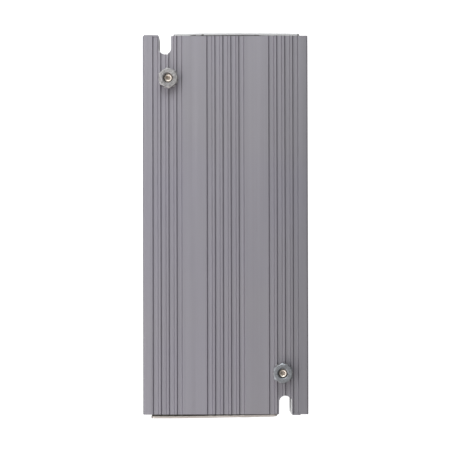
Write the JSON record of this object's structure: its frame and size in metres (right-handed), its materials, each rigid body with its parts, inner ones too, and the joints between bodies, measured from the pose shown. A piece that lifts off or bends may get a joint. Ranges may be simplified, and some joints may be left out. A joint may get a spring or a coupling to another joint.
{
  "type": "micro inverter",
  "caption": "Slim solar micro inverter in a ribbed aluminium extrusion, with screwed end plates, open mounting slots at two opposite corners and an earth bolt with a nut beside each slot.",
  "frame": {"origin": "centre of the object's footprint, on the flat back face", "axes": "+X across the ribs, +Y along the ribs towards the AC end, +Z out of the ribbed face"},
  "size_m": [0.09, 0.2102, 0.0358],
  "materials": {
    "extrusion": "natural anodised, matt, with fine die lines along its length",
    "plate": "rolled sheet, lightly brushed",
    "gasket": "matt",
    "zinc": "bright zinc plated",
    "yellow_zinc": "yellow zinc plated",
    "contact": "plated",
    "black_plastic": "moulded, fine texture",
    "clear_plastic": "clear moulded",
    "label": "satin film",
    "board": "glass-epoxy laminate with solder mask",
    "potting": "cast compound",
    "capacitor": "sleeved can",
    "ferrite": "ground ferrite",
    "winding": "enamelled copper wire",
    "bobbin": "phenolic moulding",
    "package": "moulded epoxy",
    "aluminium_block": "machined",
    "thermal_pad": "silicone",
    "steel": "plain",
    "film_case": "moulded case",
    "powder_core": "coated iron powder",
    "ceramic": "ceramic tube with end caps",
    "relay_plastic": "moulded case"
  },
  "bodies": {
    "housing": {"housing_extrusion": "extrusion", "end_plate_ac": "plate", "end_plate_dc": "plate", "gasket_ac": "gasket", "gasket_dc": "gasket", "rating_label": "label", "dc_socket_positive": "black_plastic", "dc_socket_negative": "black_plastic", "ac_socket": "black_plastic", "vent_plug": "black_plastic", "status_light_pipe": "clear_plastic", "dc_pin_positive": "contact", "dc_pin_negative": "contact", "ac_pin_live": "contact", "ac_pin_neutral": "contact", "ac_pin_earth": "contact", "main_board": "board", "control_board": "board", "potting_compound": "potting", "transformer_core_lower": "ferrite", "transformer_core_upper": "ferrite", "transformer_bobbin": "bobbin", "transformer_winding": "winding", "heat_spreader": "aluminium_block", "thermal_pad": "thermal_pad", "transistor_clamp_bar": "steel", "clamp_screw": "steel", "choke_core": "powder_core", "choke_winding": "winding", "film_capacitor": "film_case", "fuse": "ceramic", "relay_base": "relay_plastic", "relay_cover": "relay_plastic", "earth_bolt_a": "yellow_zinc", "earth_bolt_b": "yellow_zinc", "end_screw_ac_1": "zinc", "end_screw_ac_2": "zinc", "end_screw_ac_3": "zinc", "end_screw_ac_4": "zinc", "end_screw_ac_5": "zinc", "end_screw_dc_1": "zinc", "end_screw_dc_2": "zinc", "end_screw_dc_3": "zinc", "end_screw_dc_4": "zinc", "end_screw_dc_5": "zinc", "input_capacitor_1": "capacitor", "power_transistor_1": "package", "input_capacitor_2": "capacitor", "power_transistor_2": "package", "input_capacitor_3": "capacitor", "power_transistor_3": "package", "input_capacitor_4": "capacitor", "power_transistor_4": "package"},
    "earth_washer_a": {"earth_washer_a": "zinc"},
    "earth_nut_a": {"earth_nut_a": "zinc"},
    "earth_washer_b": {"earth_washer_b": "zinc"},
    "earth_nut_b": {"earth_nut_b": "zinc"},
    "relay_armature": {"relay_armature": "steel"}
  },
  "joints": [
    {"name": "earth_washer_a_lift", "type": "slide", "parent": "housing", "child": "earth_washer_a", "axis": [0, 0, 1], "range_m": [0, 0.0035]},
    {"name": "earth_nut_a_turn", "type": "hinge", "parent": "earth_washer_a", "child": "earth_nut_a", "pos_m": [-0.031, 0.0802, 0.0333], "axis": [0, 0, 1], "range_deg": [0, 1261]},
    {"name": "earth_washer_b_lift", "type": "slide", "parent": "housing", "child": "earth_washer_b", "axis": [0, 0, 1], "range_m": [0, 0.0035]},
    {"name": "earth_nut_b_turn", "type": "hinge", "parent": "earth_washer_b", "child": "earth_nut_b", "pos_m": [0.031, -0.0805, 0.0333], "axis": [0, 0, 1], "range_deg": [0, 1261]},
    {"name": "relay_armature_swing", "type": "hinge", "parent": "housing", "child": "relay_armature", "pos_m": [0, 0.0783, 0.02085], "axis": [1, 0, 0], "range_deg": [0, 3.5], "stiffness_Nm_per_rad": 0.002, "springref_deg": -20.05}
  ],
  "couplings": [
    {"joint": "earth_nut_a_turn", "follows": "earth_washer_a_lift", "rad_per_m": 6283.2},
    {"joint": "earth_nut_b_turn", "follows": "earth_washer_b_lift", "rad_per_m": 6283.2}
  ]
}
